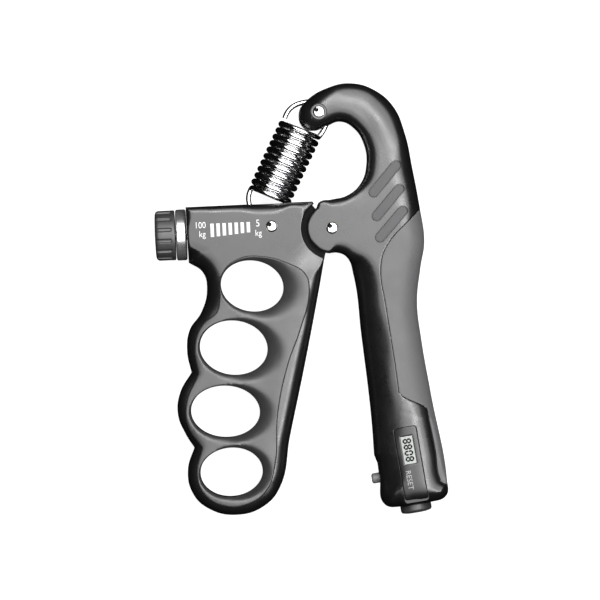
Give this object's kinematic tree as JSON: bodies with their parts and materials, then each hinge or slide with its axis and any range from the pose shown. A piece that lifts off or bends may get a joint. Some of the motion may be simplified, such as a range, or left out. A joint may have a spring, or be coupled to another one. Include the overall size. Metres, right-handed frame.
{
  "type": "finger exerciser",
  "caption": "Adjustable hand grip exerciser: a handle with finger holes and a barrel, pivoted to a hooked palm handle, held apart by an extension spring, with a knob and a counter.",
  "frame": {"origin": "centre of the footprint, on the surface that the rear faces lie on", "axes": "+Z out of the front face, +Y towards the spring hook along the length, +X towards the palm handle"},
  "size_m": [0.1142, 0.1679, 0.0243],
  "materials": {
    "casing": "fine satin grain",
    "soft_pad": "soft matte",
    "soft_inlay": "soft matte",
    "knob": "satin",
    "chrome": "polished",
    "steel": "machined",
    "brass": "machined",
    "display": "reflective liquid crystal",
    "board": "solder mask",
    "black_plastic": "moulded",
    "print": "white pad print"
  },
  "bodies": {
    "finger_handle": {"finger_casing_front": "casing", "finger_casing_rear": "casing", "finger_pad_front": "soft_pad", "finger_pad_rear": "soft_pad", "finger_case_screw_1": "steel", "finger_case_screw_2": "steel", "finger_case_screw_3": "steel", "finger_case_screw_4": "steel", "barrel_cross_pin": "chrome", "barrel_end_collar": "chrome", "screw_thrust_washer": "steel", "screw_end_bearing": "brass", "pivot_bush": "brass", "pivot_washer_front": "steel", "pivot_washer_rear": "steel"},
    "palm_handle": {"palm_casing_front": "casing", "palm_casing_rear": "casing", "palm_pad": "soft_pad", "grip_inlay_front_1": "soft_inlay", "grip_inlay_front_2": "soft_inlay", "grip_inlay_front_3": "soft_inlay", "grip_inlay_rear_1": "soft_inlay", "grip_inlay_rear_2": "soft_inlay", "grip_inlay_rear_3": "soft_inlay", "palm_case_screw_1": "steel", "palm_case_screw_2": "steel", "palm_case_screw_3": "steel", "palm_case_screw_4": "steel", "palm_case_screw_5": "steel", "hook_pin": "chrome", "hook_pin_ferrule_front": "steel", "hook_pin_ferrule_rear": "steel", "pivot_pin": "chrome", "counter_face_plate": "black_plastic", "counter_display": "display", "counter_board": "board", "coin_cell": "steel", "battery_clip": "brass", "count_switch": "black_plastic", "reset_switch": "black_plastic", "plunger_spring": "steel", "reset_spring": "steel"},
    "adjuster": {"adjuster_knob": "knob", "lead_screw": "steel", "screw_retaining_clip": "steel"},
    "carriage": {"tension_carriage": "brass", "spring_anchor_pin": "steel"},
    "count_trigger": {"count_plunger": "black_plastic"},
    "reset_key": {"reset_button": "black_plastic"},
    "spring_hanger": {"spring_top_loop": "chrome"},
    "spring_upper": {"spring_upper_coils": "chrome"},
    "spring_lower": {"spring_lower_coils": "chrome"},
    "spring_foot": {"spring_bottom_loop": "chrome"}
  },
  "joints": [
    {"name": "squeeze_hinge", "type": "hinge", "parent": "finger_handle", "child": "palm_handle", "pos_m": [0.0121, 0.02785, 0.012], "axis": [0, 0, -1], "range_deg": [0, 19.5], "stiffness_Nm_per_rad": 5, "springref_deg": -17.19},
    {"name": "adjuster_turn", "type": "hinge", "parent": "finger_handle", "child": "adjuster", "pos_m": [-0.04444, 0.02528, 0.012], "axis": [0.999, 0.0454, 0], "range_deg": [0, 2890]},
    {"name": "carriage_slide", "type": "slide", "parent": "finger_handle", "child": "carriage", "axis": [-0.999, -0.0454, 0], "range_m": [0, 0.016]},
    {"name": "trigger_press", "type": "slide", "parent": "palm_handle", "child": "count_trigger", "axis": [0.9854, 0.1702, 0], "range_m": [0, 0.0025], "stiffness_N_per_m": 300, "springref_m": -0.001, "deforming": ["plunger_spring"]},
    {"name": "reset_press", "type": "slide", "parent": "palm_handle", "child": "reset_key", "axis": [-0.1702, 0.9854, 0], "range_m": [0, 0.002], "stiffness_N_per_m": 500, "springref_m": -0.001, "deforming": ["reset_spring"]},
    {"name": "spring_swing_squeeze", "type": "hinge", "parent": "palm_handle", "child": "spring_hanger", "pos_m": [0.0069, 0.073, 0.012], "axis": [0, 0, -1], "range_deg": [-5.5, 0], "deforming": ["spring_top_loop"]},
    {"name": "spring_swing_adjust", "type": "hinge", "parent": "spring_hanger", "child": "spring_upper", "pos_m": [0.0069, 0.073, 0.012], "axis": [0, 0, -1], "range_deg": [0, 14], "deforming": ["spring_upper_coils"]},
    {"name": "spring_stretch_squeeze", "type": "slide", "parent": "spring_upper", "child": "spring_lower", "axis": [-0.4242, -0.9056, 0], "range_m": [0, 0.0097], "deforming": ["spring_lower_coils"]},
    {"name": "spring_stretch_adjust", "type": "slide", "parent": "spring_lower", "child": "spring_foot", "axis": [-0.4242, -0.9056, 0], "range_m": [0, 0.0113], "deforming": ["spring_bottom_loop"]}
  ],
  "couplings": [
    {"joint": "adjuster_turn", "follows": "carriage_slide", "rad_per_m": 3141.6},
    {"joint": "spring_swing_squeeze", "follows": "squeeze_hinge", "ratio": -0.27463},
    {"joint": "spring_stretch_squeeze", "follows": "squeeze_hinge", "m_per_rad": 0.028022},
    {"joint": "spring_swing_adjust", "follows": "carriage_slide", "rad_per_m": 15.009},
    {"joint": "spring_stretch_adjust", "follows": "carriage_slide", "ratio": 0.69214}
  ]
}
